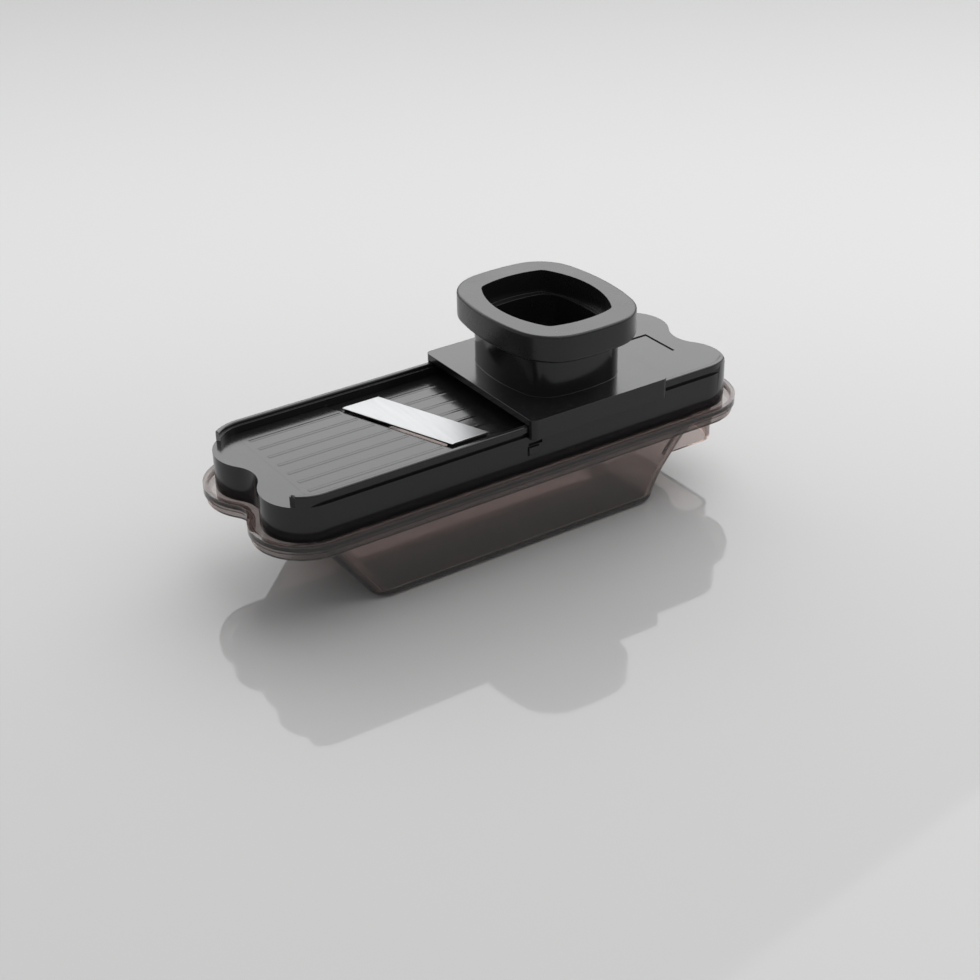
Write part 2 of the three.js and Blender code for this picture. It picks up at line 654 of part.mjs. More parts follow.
// Stiffening ribs under the head, between its outer wall and the sleeve.
function headRibs() {
  const low = HEAD_LOW_Z + 1.5;
  const top = HEAD_TOP_Z - 1;
  const across = HEAD_HALF_X - 1;
  const along = HEAD_HALF_Y - 1;
  const cross = box(CHUTE_X - across, CHUTE_X + across, -0.8, 0.8, low, top);
  return cross.add(box(CHUTE_X - 0.8, CHUTE_X + 0.8, -along, along, low, top));
}

const PUSHER_SCREWS = [-1, 1].flatMap((i) => [-1, 1].map((j) => [CHUTE_X + 12 * i, 15 * j]));

function pusherPlate() {
  const toSleeve = CHUTE_WALL + SLEEVE_CLEARANCE;
  const outline = insetBow(CHUTE_HALF_X, CHUTE_HALF_Y, CHUTE_CORNER, CHUTE_SIDE_RADIUS, toSleeve);
  let plate = upright(outline, PUSHER_LOW_Z, PUSHER_TOP_Z, 4);
  for (let i = 0; i < SPIKE_ROWS_X; i += 1) {
    for (let j = 0; j < SPIKE_ROWS_Y; j += 1) {
      const x = CHUTE_X + (i - (SPIKE_ROWS_X - 1) / 2) * SPIKE_PITCH;
      const y = (j - (SPIKE_ROWS_Y - 1) / 2) * SPIKE_PITCH;
      const length = PUSHER_LOW_Z - SPIKE_LOW_Z + 0.3;
      const spike = new THREE.CylinderGeometry(SPIKE_HALF * 1.4, SPIKE_HALF * 0.6, length, 4);
      spike.rotateX(Math.PI / 2).translate(x, y, SPIKE_LOW_Z + length / 2);
      plate = plate.add(solidOf(spike));
    }
  }
  for (const [x, y] of PUSHER_SCREWS) {
    plate = plate.subtract(post(x, y, PUSHER_LOW_Z + 0.8, PUSHER_TOP_Z + 1, SCREW_HOLE_RADIUS));
  }
  return plate;
}

function pusherScrew([x, y]) {
  const near = SLEEVE_LOW_Z + SLEEVE_FLOOR + GAP;
  return screw(x, y, near + SCREW_HEAD_HEIGHT, near, PUSHER_LOW_Z + 1.1);
}

// ---------- catches ----------
const FLANGE_FAR = BODY_HALF_WIDTH - WALL - GAP;
const FLANGE_NEAR = FLANGE_FAR - CATCH_FLANGE_THICKNESS;

function catchButton(side) {
  const left = CATCH_X - CATCH_HALF_X;
  const right = CATCH_X + CATCH_HALF_X;
  const low = CATCH_Z - CATCH_HALF_Z;
  const high = CATCH_Z + CATCH_HALF_Z;
  const reach = CATCH_FLANGE;
  const elbowHigh = low - CATCH_FLANGE - 0.2;
  const legNear = LEG_FAR - CATCH_LEG_THICKNESS;
  const button = sideBox(side, left, right, FLANGE_NEAR, BODY_HALF_WIDTH + CATCH_PROUD, low, high);
  const flange = sideBox(side, left - reach, right + reach, FLANGE_NEAR, FLANGE_FAR, elbowHigh - 1.5, high + reach);
  const elbow = sideBox(side, left, right, legNear, FLANGE_FAR, elbowHigh - 1.5, elbowHigh);
  const leg = sideBox(side, left, right, legNear, LEG_FAR, CATCH_LEG_LOW_Z, elbowHigh);
  return button.add(flange).add(elbow).add(leg);
}

class Helix extends THREE.Curve {
  constructor(side, near, far) {
    super();
    this.side = side;
    this.near = near;
    this.far = far;
  }

  getPoint(t, target = new THREE.Vector3()) {
    const angle = 2 * Math.PI * SPRING_TURNS * t;
    const y = this.side * THREE.MathUtils.lerp(this.near, this.far, t);
    return target.set(CATCH_X + SPRING_RADIUS * Math.cos(angle), y, CATCH_Z + SPRING_RADIUS * Math.sin(angle));
  }
}

function catchSpring(side) {
  const near = BODY_HALF_WIDTH - SPRING_SEAT_DEPTH + SPRING_WIRE + GAP;
  const far = FLANGE_NEAR - SPRING_WIRE - GAP;
  const wire = new THREE.Shape();
  wire.absarc(0, 0, SPRING_WIRE, 0, 2 * Math.PI, false);
  const path = new Helix(side, near, far);
  return solidOf(
    new THREE.ExtrudeGeometry(wire, {
      steps: SPRING_TURNS * 10,
      curveSegments: 3,
      bevelEnabled: false,
      extrudePath: path,
    }),
  );
}

// ---------- finishes ----------
function finish(color, roughness, metalness = 0, opacity = 1) {
  return new THREE.MeshStandardMaterial({ color, roughness, metalness, opacity, transparent: opacity < 1 });
}

const BLACK_GLOSS = finish(0x1d1e1f, 0.25);
const BLACK_SATIN = finish(0x242526, 0.4);
const SMOKY_CLEAR = finish(0x6a6060, 0.12, 0, 0.55);
const POLISHED_STEEL = finish(0xdfe2e4, 0.18, 1);
const ZINC_SCREW = finish(0x9fa3a6, 0.35, 1);

// ---------- assembly ----------
function named(name, solid, material) {
  const mesh = new THREE.Mesh(geometryOf(solid), material.clone());
  mesh.name = name;
  return mesh;
}

function screwSet(prefix, places, make) {
  return places.map((place, i) => named(prefix + "_" + (i + 1), make(place), ZINC_SCREW));
}

const slicer = new THREE.Group();
slicer.name = "mandoline_slicer";

const base = new THREE.Group();
base.add(named("container", container(), SMOKY_CLEAR));

const body = new THREE.Group();
body.add(named("body_frame", bodyFrame(), BLACK_GLOSS));
body.add(named("ramp_plate", rampPlate(), BLACK_GLOSS));
body.add(named("landing_plate", landingPlate(), BLACK_GLOSS));
body.add(named("blade", blade(), POLISHED_STEEL));
body.add(...screwSet("ramp_screw", RAMP_SCREWS, deckScrew));
body.add(...screwSet("landing_screw", LANDING_SCREWS, deckScrew));

const sliding = new THREE.Group();
sliding.add(named("carriage", carriage(), BLACK_GLOSS));

const plunger = new THREE.Group();
plunger.add(named("plunger_body", plungerBody(), BLACK_SATIN));
plunger.add(named("pusher_plate", pusherPlate(), BLACK_SATIN));
plunger.add(...screwSet("pusher_screw", PUSHER_SCREWS, pusherScrew));

for (const [side, place] of [
  [-1, "front"],
  [1, "back"],
]) {
  body.add(named("catch_button_" + place, catchButton(side), BLACK_SATIN));
  body.add(named("catch_spring_" + place, catchSpring(side), POLISHED_STEEL));
}

sliding.add(plunger);
body.add(sliding);
base.add(body);
slicer.add(base);

export default slicer;
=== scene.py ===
# %% [markdown]
# # A mandoline slicer for nuts
# The slicer is a black plastic body with a slanted steel blade, a carriage that slides over it, and a clear
# container underneath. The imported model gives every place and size. This lesson adds the looks: rounded
# edges, clean curves, and finishes that behave like polished plastic, smoky plastic and steel.

# %% Load the fixed frame
import json
import math
import bmesh
import bpy
from mathutils import Matrix, Vector


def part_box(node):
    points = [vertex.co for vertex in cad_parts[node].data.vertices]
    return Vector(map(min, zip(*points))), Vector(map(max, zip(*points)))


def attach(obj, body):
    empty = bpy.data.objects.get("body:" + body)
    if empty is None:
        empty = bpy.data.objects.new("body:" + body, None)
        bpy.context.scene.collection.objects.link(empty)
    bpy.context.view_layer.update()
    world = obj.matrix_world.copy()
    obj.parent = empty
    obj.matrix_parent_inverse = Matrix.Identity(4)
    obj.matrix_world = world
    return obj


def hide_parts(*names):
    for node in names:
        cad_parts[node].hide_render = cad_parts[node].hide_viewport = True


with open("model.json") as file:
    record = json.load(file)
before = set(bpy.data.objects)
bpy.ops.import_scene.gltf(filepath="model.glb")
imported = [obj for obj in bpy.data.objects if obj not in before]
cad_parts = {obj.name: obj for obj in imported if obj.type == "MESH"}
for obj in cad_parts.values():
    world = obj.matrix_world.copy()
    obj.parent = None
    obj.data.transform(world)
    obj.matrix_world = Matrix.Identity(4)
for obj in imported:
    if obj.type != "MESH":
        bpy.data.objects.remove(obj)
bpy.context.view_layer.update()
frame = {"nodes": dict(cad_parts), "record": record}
MM = 0.001

# %% [markdown]
# ## Sizes that many pieces share
# A piece is easy to fit when its sizes come from one place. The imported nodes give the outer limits, and the
# few radii below describe the two-lobed ends that the body and the container's rim share. FOOT, RAMP, DECK
# and BLADE_TOP are heights: the body's underside, the ramp, the landing plate and the top of the blade.

# %% Shared sizes, in millimetres
def limits(node):
    """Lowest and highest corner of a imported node, in millimetres."""
    low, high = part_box(node)
    return [round(c / MM, 3) for c in low], [round(c / MM, 3) for c in high]


(BODY_LEFT, _, _), (BODY_RIGHT, BODY_BACK, RAIL_TOP) = limits("body_frame")
(CARRIAGE_LEFT, CARRIAGE_FRONT, SKIRT_LOW), (CARRIAGE_RIGHT, CARRIAGE_BACK, CHUTE_TOP) = limits("carriage")
(HEAD_LEFT, _, SLEEVE_LOW), (HEAD_RIGHT, _, HEAD_TOP) = limits("plunger_body")
(_, _, _), (_, _, LIP_TOP) = limits("container")
LOBE_RADIUS = 19.2
NOTCH_RADIUS = 15.1
LOBE_X = 119.5 - LOBE_RADIUS
LOBE_Y = BODY_BACK - LOBE_RADIUS
GAP = 0.3
FOOT = 41.0
RAMP = 57.5
BLADE_TOP = 59.0
DECK = 57.0
CHUTE_X = (HEAD_LEFT + HEAD_RIGHT) / 2
print("body", BODY_LEFT, BODY_RIGHT, BODY_BACK, "rail top", RAIL_TOP, "head", HEAD_LEFT, HEAD_RIGHT)

# %% [markdown]
# ## Tools for shaping by hand
# Every operator works on what is selected, so each helper starts by clearing the selection. `pick` then
# selects faces or edges by their place. Blocks come from primitives, and one block is cut from another, or
# joined to it, with a Boolean modifier that is applied at once.

# %% Select, cut and join
def clear_selection():
    bpy.ops.object.select_all(action="DESELECT")


def take(piece):
    """Makes one piece the only selected and active one."""
    clear_selection()
    piece.select_set(True)
    bpy.context.view_layer.objects.active = piece
    return piece


def pick(piece, kind, test):
    """In edit mode, selects the vertices, edges or faces whose middle passes a test, in millimetres."""
    bpy.ops.mesh.select_mode(type={"verts": "VERT", "edges": "EDGE", "faces": "FACE"}[kind])
    bpy.ops.mesh.select_all(action="DESELECT")
    mesh = bmesh.from_edit_mesh(piece.data)
    chosen = 0
    for item in getattr(mesh, kind):
        points = [item.co] if kind == "verts" else [v.co for v in item.verts]
        middle = sum(points, Vector()) / len(points) / MM
        if test(middle, item):
            item.select_set(True)
            chosen += 1
    bmesh.update_edit_mesh(piece.data)
    return chosen


def apply_modifier(piece, kind, **settings):
    take(piece)
    modifier = piece.modifiers.new(kind.title(), kind)
    for key, value in settings.items():
        setattr(modifier, key, value)
    bpy.ops.object.modifier_apply(modifier=modifier.name)


def combine(piece, tool, operation):
    apply_modifier(piece, "BOOLEAN", operation=operation, object=tool, solver="EXACT")
    bpy.data.objects.remove(tool, do_unlink=True)
    return piece


def cut(piece, tool):
    return combine(piece, tool, "DIFFERENCE")


def join(piece, tool):
    return combine(piece, tool, "UNION")


def keep(piece, tool):
    return combine(piece, tool, "INTERSECT")


# %% [markdown]
# ## Three kinds of block
# A plain block is a cube at its size and place. A rounded block has its upright edges bevelled. A swept
# block is drawn like a fence: one upright edge is spun round each corner's centre and pulled along each
# straight, and then the top and the bottom are filled. Spinning keeps every arc a true arc, which a bevel
# on a sharp corner wouldn't.

# %% Plain and rounded blocks
def block(x0, x1, y0, y1, z0, z1, name="block"):
    clear_selection()
    middle = ((x0 + x1) / 2 * MM, (y0 + y1) / 2 * MM, (z0 + z1) / 2 * MM)
    bpy.ops.mesh.primitive_cube_add(size=1, location=middle)
    piece = bpy.context.object
    piece.name = name
    piece.scale = ((x1 - x0) * MM, (y1 - y0) * MM, (z1 - z0) * MM)
    bpy.ops.object.transform_apply(location=True, rotation=True, scale=True)
    return piece


def is_upright(middle, edge):
    a, b = edge.verts
    return abs(a.co.z - b.co.z) > 1e-5 and (a.co - b.co).xy.length < 1e-6


def rounded_block(x0, x1, y0, y1, z0, z1, corner, name="rounded", steps=8):
    piece = take(block(x0, x1, y0, y1, z0, z1, name))
    bpy.ops.object.mode_set(mode="EDIT")
    pick(piece, "edges", is_upright)
    bpy.ops.mesh.bevel(offset=corner * MM, segments=steps, profile=0.5, affect="EDGES")
    bpy.ops.object.mode_set(mode="OBJECT")
    return piece


def round_post(x, y, z0, z1, radius, sides=24, name="post"):
    clear_selection()
    middle = (x * MM, y * MM, (z0 + z1) / 2 * MM)
    bpy.ops.mesh.primitive_cylinder_add(
        vertices=sides, radius=radius * MM, depth=(z1 - z0) * MM, location=middle
    )
    piece = bpy.context.object
    piece.name = name
    bpy.ops.object.transform_apply(location=True, rotation=True, scale=True)
    return piece


# %% Swept blocks
def swept_block(start, path, z0, z1, name="swept"):
    """Draws an outline anticlockwise from start with straights and arcs, and makes it a solid."""
    clear_selection()
    bpy.ops.mesh.primitive_plane_add(size=MM, location=(start[0] * MM, start[1] * MM, z0 * MM))
    piece = bpy.context.object
    piece.name = name
    bpy.ops.object.transform_apply(location=True, rotation=True, scale=True)
    bpy.ops.object.mode_set(mode="EDIT")
    bpy.ops.mesh.select_mode(type="VERT")
    bpy.ops.mesh.select_all(action="SELECT")
    bpy.ops.mesh.merge(type="CENTER")
    bpy.ops.mesh.extrude_region_move(TRANSFORM_OT_translate={"value": (0, 0, (z1 - z0) * MM)})
    bpy.ops.mesh.select_all(action="SELECT")
    for step in path:
        if step[0] == "line":
            move = (step[1] * MM, step[2] * MM, 0)
            bpy.ops.mesh.extrude_region_move(TRANSFORM_OT_translate={"value": move})
        else:
            _, centre_x, centre_y, turn, parts = step
            bpy.ops.mesh.spin(
                steps=parts, angle=-turn, center=(centre_x * MM, centre_y * MM, 0), axis=(0, 0, 1)
            )
    bpy.ops.mesh.select_all(action="SELECT")
    bpy.ops.mesh.remove_doubles(threshold=2e-6)
    for level in (z0, z1):
        pick(piece, "edges", lambda middle, edge: abs(middle.z - level) < 1e-3)
        bpy.ops.mesh.edge_face_add()
    bpy.ops.mesh.select_all(action="SELECT")
    bpy.ops.mesh.normals_make_consistent(inside=False)
    bpy.ops.object.mode_set(mode="OBJECT")
    return piece


# %% [markdown]
# ## The two outlines of this slicer
# The body and the rim share a long shape with two lobes at each end and a hollow between them. The plunger
# and the chute share a soft rectangle whose sides bulge on large arcs. Both are given by radii, so an offset
# grows or shrinks them evenly all round.

# %% Lobed outline
def lobed_block(offset, z0, z1, name="lobed", parts=26):
    reach = LOBE_RADIUS + NOTCH_RADIUS
    notch_x = LOBE_X + math.sqrt(reach**2 - LOBE_Y**2)
    meet = math.asin(LOBE_Y / reach)
    lobe_turn = math.pi / 2 + meet
    path = []
    for side in (1, -1):
        path += [
            ("line", side * 2 * LOBE_X, 0),
            ("arc", side * LOBE_X, -side * LOBE_Y, lobe_turn, parts),
            ("arc", side * notch_x, 0, -2 * meet, parts * 2 // 3),
            ("arc", side * LOBE_X, side * LOBE_Y, lobe_turn, parts),
        ]
    return swept_block((-LOBE_X, -LOBE_Y - LOBE_RADIUS - offset), path, z0, z1, name)


# %% Bowed outline
def bowed_block(half_x, half_y, corner, side_radius, z0, z1, name="bowed", parts=12):
    side_x = half_x - side_radius
    side_y = half_y - side_radius
    spread = math.hypot(side_x, side_y)
    reach = math.sqrt((side_radius - corner) ** 2 - (spread / 2) ** 2) / spread
    corner_x = side_x / 2 - side_y * reach
    corner_y = side_y / 2 - side_x * reach
    low = math.atan2(corner_y, corner_x - side_x)
    high = math.atan2(corner_y - side_y, corner_x)
    start = (
        CHUTE_X + side_x + side_radius * math.cos(low),
        -side_radius * math.sin(low),
    )
    path = []
    for turn in (1, -1):
        path += [
            ("arc", CHUTE_X + turn * side_x, 0, 2 * low, parts),
            ("arc", CHUTE_X + turn * corner_x, turn * corner_y, high - low, parts),
            ("arc", CHUTE_X, turn * side_y, math.pi - 2 * high, parts),
            ("arc", CHUTE_X - turn * corner_x, turn * corner_y, high - low, parts),
        ]
    return swept_block(start, path, z0, z1, name)


# %% [markdown]
# ## Finishing a shape
# Moulded plastic never has a knife-sharp edge. A Bevel modifier rounds each edge a little, and a Weighted
# Normal modifier lets the large faces stay flat under the light while the small round ones blend.

# %% Round the edges and smooth the shading
def soften(piece, width, segments=3, angle=38):
    take(piece)
    bpy.ops.object.mode_set(mode="EDIT")
    bpy.ops.mesh.select_all(action="SELECT")
    bpy.ops.mesh.remove_doubles(threshold=1e-6)
    bpy.ops.mesh.dissolve_limited(angle_limit=math.radians(0.2), use_dissolve_boundaries=False)
    bpy.ops.object.mode_set(mode="OBJECT")
    apply_modifier(
        piece,
        "BEVEL",
        width=width * MM,
        segments=segments,
        limit_method="ANGLE",
        angle_limit=math.radians(angle),
        miter_outer="MITER_ARC",
        use_clamp_overlap=True,
    )
    bpy.ops.object.shade_smooth()
    apply_modifier(piece, "WEIGHTED_NORMAL", mode="FACE_AREA", weight=60, keep_sharp=True)
    return piece


def settle(piece, body, material_slot, *nodes):
    """Rides the piece on its body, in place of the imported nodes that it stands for."""
    piece.name = "shown_" + nodes[0]
    piece.data.name = piece.name
    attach(piece, body)
    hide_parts(*nodes)
    print(piece.name, len(piece.data.polygons), "faces", [round(d / MM, 1) for d in piece.dimensions])
    return piece


# %% [markdown]
# ## The container's tub
# The tub is one clear moulding. It starts as a cube that is cut into levels, and each level is moved to the
# tub's side view: a straight slope under the ramp, and a curve that sweeps out at the parking end. The inside
# is the same form, a wall's thickness smaller, cut away.

# %% Shape the tub level by level
TUB_LEFT = (-76.0, -106.0)
TUB_RIGHT = (73.0, 99.0)
TUB_HALF_Y = (37.4, 38.6)
SWEEP_LOW = (2.5, 16.0)
SWEEP_HIGH = (-10.0, 24.0)
TUB_CORNER = 6.5
TUB_FOOT_ROUND = 3


def sweep_x(z, inset, floor, top):
    """How far the parking end reaches at a height, found by halving along its curve."""
    base, mouth = TUB_RIGHT[0] - inset, TUB_RIGHT[1] - inset
    xs = (base, base + SWEEP_LOW[0], mouth + SWEEP_HIGH[0], mouth)
    zs = (floor, SWEEP_LOW[1], SWEEP_HIGH[1], top)

    def along(values, t):
        a, b, c, d = values
        s = 1 - t
        return a * s**3 + 3 * b * s * s * t + 3 * c * s * t * t + d * t**3

    low, high = 0.0, 1.0
    for _ in range(30):
        t = (low + high) / 2
        low, high = (t, high) if along(zs, t) < z else (low, t)
    return along(xs, low)


def tub_form(inset, floor, top, name, levels=14):
    left, right = TUB_LEFT[1] + inset, TUB_RIGHT[1] - inset
    half = TUB_HALF_Y[1] - inset
    piece = take(block(left, right, -half, half, floor, top, name))
    bpy.ops.object.mode_set(mode="EDIT")
    for number in range(1, levels):
        z = floor + (top - floor) * number / levels
        bpy.ops.mesh.select_all(action="SELECT")
        bpy.ops.mesh.bisect(plane_co=(0, 0, z * MM), plane_no=(0, 0, 1))
    for number in range(levels + 1):
        part = number / levels
        z = floor + (top - floor) * part
        wanted = (
            TUB_LEFT[0] + inset + (TUB_LEFT[1] - TUB_LEFT[0]) * part,
            sweep_x(z, inset, floor, top),
        )
        for now, new in ((left, wanted[0]), (right, wanted[1])):
            pick(piece, "verts", lambda m, v: abs(m.z - z) < 1e-2 and abs(m.x - now) < 1e-2)
            bpy.ops.transform.translate(value=((new - now) * MM, 0, 0))
        narrow = (TUB_HALF_Y[0] - inset + (TUB_HALF_Y[1] - TUB_HALF_Y[0]) * part) / half
        pick(piece, "verts", lambda m, v: abs(m.z - z) < 1e-2)
        bpy.ops.transform.resize(value=(1, narrow, 1), center_override=(0, 0, z * MM))

    def is_corner(middle, edge):
        rises = abs(edge.verts[0].co.z - edge.verts[1].co.z) > 1e-4
        return rises and len(edge.link_faces) == 2 and edge.calc_face_angle(0) > 0.9

    pick(piece, "edges", is_corner)
    bpy.ops.mesh.bevel(offset=(TUB_CORNER - inset) * MM, segments=6, profile=0.5, affect="EDGES")
    pick(piece, "edges", lambda m, e: abs(m.z - floor) < 1e-2 and e.calc_face_angle(0) > 0.5)
    bpy.ops.mesh.bevel(offset=(TUB_FOOT_ROUND - inset / 2) * MM, segments=4, profile=0.5, affect="EDGES")
    bpy.ops.object.mode_set(mode="OBJECT")
    return piece


# %% [markdown]
# ## The rim and the finger grip
# The rim follows the body's lobes 5.5 mm further out, in two tiers, with a lip that keeps the body centred.
# Under the parking end hangs a U-shaped skirt, which is where the fingers lift the container.

# %% Build the container
RIM_OFFSET = 5.5
RIM_STEP = 1.1
RIM_STEP_HEIGHT = 38.6
RIM_LOW = 35.2
TUB_WALL = 2.0
TUB_FLOOR = 2.4
LEDGE = FOOT - GAP
GRIP_LEFT, GRIP_RIGHT, GRIP_HALF_Y, GRIP_LOW, GRIP_CORNER = 58.0, 114.5, 31.0, 18.5, 9.0


def build_grip(top):
    outside = rounded_block(GRIP_LEFT, GRIP_RIGHT, -GRIP_HALF_Y, GRIP_HALF_Y, GRIP_LOW, top, GRIP_CORNER)
    inside = rounded_block(
        GRIP_LEFT - 10,
        GRIP_RIGHT - TUB_WALL,
        TUB_WALL - GRIP_HALF_Y,
        GRIP_HALF_Y - TUB_WALL,
        GRIP_LOW - 1,
        top + 1,
        GRIP_CORNER - TUB_WALL,
    )
    return cut(outside, inside)


def build_container():
    ledge_low = LEDGE - TUB_WALL
    lower = RIM_OFFSET - RIM_STEP
    rim = lobed_block(RIM_OFFSET, RIM_STEP_HEIGHT, LIP_TOP, "rim")
    rim = join(rim, lobed_block(lower, RIM_LOW, ledge_low, "lower_tier"))
    rim = cut(rim, lobed_block(RIM_OFFSET - TUB_WALL, LEDGE, LIP_TOP + 1, "lip_hollow"))
    rim = cut(rim, lobed_block(lower - TUB_WALL, RIM_LOW - 1, ledge_low, "under_hollow"))
    tub = tub_form(0, 0, LEDGE - 0.5, "tub")
    grip = cut(build_grip(ledge_low + 0.5), tub_form(0.02, 0.02, LEDGE - 0.5, "tub_space"))
    rim = join(join(rim, grip), tub)
    rim = cut(rim, tub_form(TUB_WALL, TUB_FLOOR, LEDGE + 2.3, "tub_hollow"))
    return soften(rim, 0.45, 2, 50)


settle(build_container(), "container", "smoky_clear", "container")

# %% [markdown]
# ## The slicer's body
# The body carries the rails, the grooves for the carriage's hooks, the seat for the deck plates, and the
# catches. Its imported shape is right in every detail, so a copy is cleaned: doubles are merged and flat
# triangles joined. The rails' tops and the ledge under them are rounded first, with an edit-mode bevel that
# takes only the edges at one height. A smaller bevel then rounds every other real edge.

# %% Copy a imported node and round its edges
def clean_copy(node):
    """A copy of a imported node, with its doubles merged and its flat triangles joined."""
    source = frame["nodes"][node]
    piece = bpy.data.objects.new("copy_" + node, source.data.copy())
    bpy.context.scene.collection.objects.link(piece)
    take(piece)
    bpy.ops.object.mode_set(mode="EDIT")
    bpy.ops.mesh.select_all(action="SELECT")
    bpy.ops.mesh.remove_doubles(threshold=2e-6)
    bpy.ops.mesh.dissolve_limited(angle_limit=math.radians(0.5))
    bpy.ops.object.mode_set(mode="OBJECT")
    return piece


def rounded_copy(node, width, segments=2, angle=35):
    return soften(clean_copy(node), width, segments, angle)


def rounded_edge(piece, z, width, segments=4):
    """Rounds every sharp edge that lies at one height, with an edit-mode bevel."""
    take(piece)
    bpy.ops.object.mode_set(mode="EDIT")
    flat = lambda edge: abs(edge.verts[0].co.z - edge.verts[1].co.z) < 1e-6
    pick(piece, "edges", lambda m, e: abs(m.z - z) < 1e-2 and flat(e) and e.calc_face_angle(0) > 0.8)
    bpy.ops.mesh.bevel(offset=width * MM, segments=segments, profile=0.5, affect="EDGES", clamp_overlap=True)
    bpy.ops.object.mode_set(mode="OBJECT")
    return piece


RAIL_LEDGE = 60.9
body_shell = rounded_edge(clean_copy("body_frame"), RAIL_TOP, 1.0)
body_shell = rounded_edge(body_shell, RAIL_LEDGE, 0.7, 3)
settle(soften(body_shell, 0.3, 2, 35), "slicer_body", "black_gloss", "body_frame")

# %% [markdown]
# ## The deck plates
# The ramp lies a slice's thickness lower than the blade. Low ribs run along both plates so that wet food
# doesn't stick. Each rib is the top slice of a wide lying cylinder, so it swells gently from the plate.

# %% Ribs
RIB_PITCH = 8.8
RIB_ROWS = [(row - 3) * RIB_PITCH for row in range(7)]
RIB_FROM_RAMP_END = -101.0
RIB_FROM_BLADE_EDGE = 1.5
RIB_FROM_BLADE_BACK = 2.5
RIB_HALF = 1.2
RIB_HEIGHT = 0.13
RIB_ROUND = (RIB_HALF**2 + RIB_HEIGHT**2) / (2 * RIB_HEIGHT)


def low_rib(x0, x1, y, foot):
    """The top slice of a wide lying cylinder, so the rib swells gently from the plate."""
    clear_selection()
    middle = ((x0 + x1) / 2 * MM, y * MM, (foot + RIB_HEIGHT - RIB_ROUND) * MM)
    bpy.ops.mesh.primitive_cylinder_add(
        vertices=160,
        radius=RIB_ROUND * MM,
        depth=(x1 - x0) * MM,
        location=middle,
        rotation=(0, math.pi / 2, 0),
    )
    rib = bpy.context.object
    bpy.ops.object.transform_apply(location=True, rotation=True, scale=True)
    return keep(rib, block(x0 - 1, x1 + 1, y - 2, y + 2, foot - 0.2, foot + 1))


def add_ribs(plate, ends, foot):
    for y in RIB_ROWS:
        left, right = ends(y)
        plate = join(plate, low_rib(left, right, y, foot))
    return plate


# %% Leaning strips
LEAN = 0.375
EDGE_X = -43.1
BACK_X = -24.4
BLADE_HALF_Y = 28.5
SEAT_DROP = 1.1
THROAT = 1.2
SKIN = 0.03
SEAM_LIP = 0.8


def leaning_block(x0, lean0, x1, lean1, half_y, z0, z1, name):
    """A block whose ends may lean with the blade: its front and back corners are slid along X."""
    piece = take(block(x0, x1, -half_y, half_y, z0, z1, name))
    bpy.ops.object.mode_set(mode="EDIT")
    for x, lean in ((x0, lean0), (x1, lean1)):
        for side in (-1, 1):
            y = side * half_y
            pick(piece, "verts", lambda m, v: abs(m.x - x) < 0.05 and abs(m.y - y) < 0.05)
            bpy.ops.transform.translate(value=(-lean * y * MM, 0, 0))
    bpy.ops.object.mode_set(mode="OBJECT")
    return piece


# %% Build both plates
def build_ramp():
    (left, front, low), (_, back, _) = limits("ramp_plate")
    edge = EDGE_X - THROAT
    top = RAMP + SKIN
    plate = leaning_block(left, 0, edge, LEAN, back, low, top, "ramp")
    plate = join(plate, block(left - SEAM_LIP, left + 1, front, back, RAMP - 0.25, top))
    plate = add_ribs(plate, lambda y: (RIB_FROM_RAMP_END, edge - LEAN * y - RIB_FROM_BLADE_EDGE), RAMP + 0.02)
    return soften(plate, 0.16, 2)


def build_landing():
    (_, _, low), (right, back, _) = limits("landing_plate")
    seat_top = BLADE_TOP - SEAT_DROP

    def strip(x0, x1, half_y, z0, z1, name):
        return leaning_block(x0, LEAN, x1, LEAN, half_y, z0, z1, name)

    plate = leaning_block(EDGE_X, LEAN, right, 0, back, low, DECK, "landing")
    plate = join(plate, strip(EDGE_X + 0.5, BACK_X - 0.5, BLADE_HALF_Y - 0.5, low, seat_top, "blade_seat"))
    plate = cut(plate, strip(EDGE_X - 3, EDGE_X + 4, BLADE_HALF_Y - 3, low - 1, BLADE_TOP, "mouth"))
    plate = add_ribs(plate, lambda y: (BACK_X - LEAN * y + RIB_FROM_BLADE_BACK, right - 3), DECK)
    return soften(plate, 0.12, 2)


settle(build_ramp(), "slicer_body", "black_gloss", "ramp_plate")
settle(build_landing(), "slicer_body", "black_gloss", "landing_plate")

# %% [markdown]
# ## The blade
# The blade is a strip of bright steel that lies across the deck at a slant. Its edge is ground from below,
# so the top stays flat. A thin ground line along the top of the edge catches the light.

# %% Build the blade
GRIND_BELOW = 1.6
GRIND_LINE = 1.3
GRIND_DROP = 0.3


def build_blade():
    (_, _, low), (_, _, high) = limits("blade")
    blade = leaning_block(EDGE_X, LEAN, BACK_X, LEAN, BLADE_HALF_Y, low, high, "blade")
    take(blade)
    bpy.ops.object.mode_set(mode="EDIT")
    on_edge = lambda m: abs(m.x - (EDGE_X - LEAN * m.y)) < 0.1
    pick(blade, "verts", lambda m, v: on_edge(m) and m.z < low + 0.1)
    bpy.ops.transform.translate(value=(GRIND_BELOW * MM, 0, 0))
    bpy.ops.mesh.select_all(action="SELECT")
    bpy.ops.mesh.bisect(plane_co=((EDGE_X + GRIND_LINE) * MM, 0, high * MM), plane_no=(1, LEAN, 0))
    pick(blade, "verts", lambda m, v: on_edge(m) and m.z > high - 0.1)
    bpy.ops.transform.translate(value=(0, 0, -GRIND_DROP * MM))
    bpy.ops.object.mode_set(mode="OBJECT")
    return soften(blade, 0.05, 1)


settle(build_blade(), "slicer_body", "blade_steel", "blade")

# %% [markdown]
# ## The carriage
# The carriage is a thick plate that rides on the rails, with skirts that hook under them and a chute that
# rises from its middle. The chute's foot gets a small fillet from the same bevel that rounds the edges.

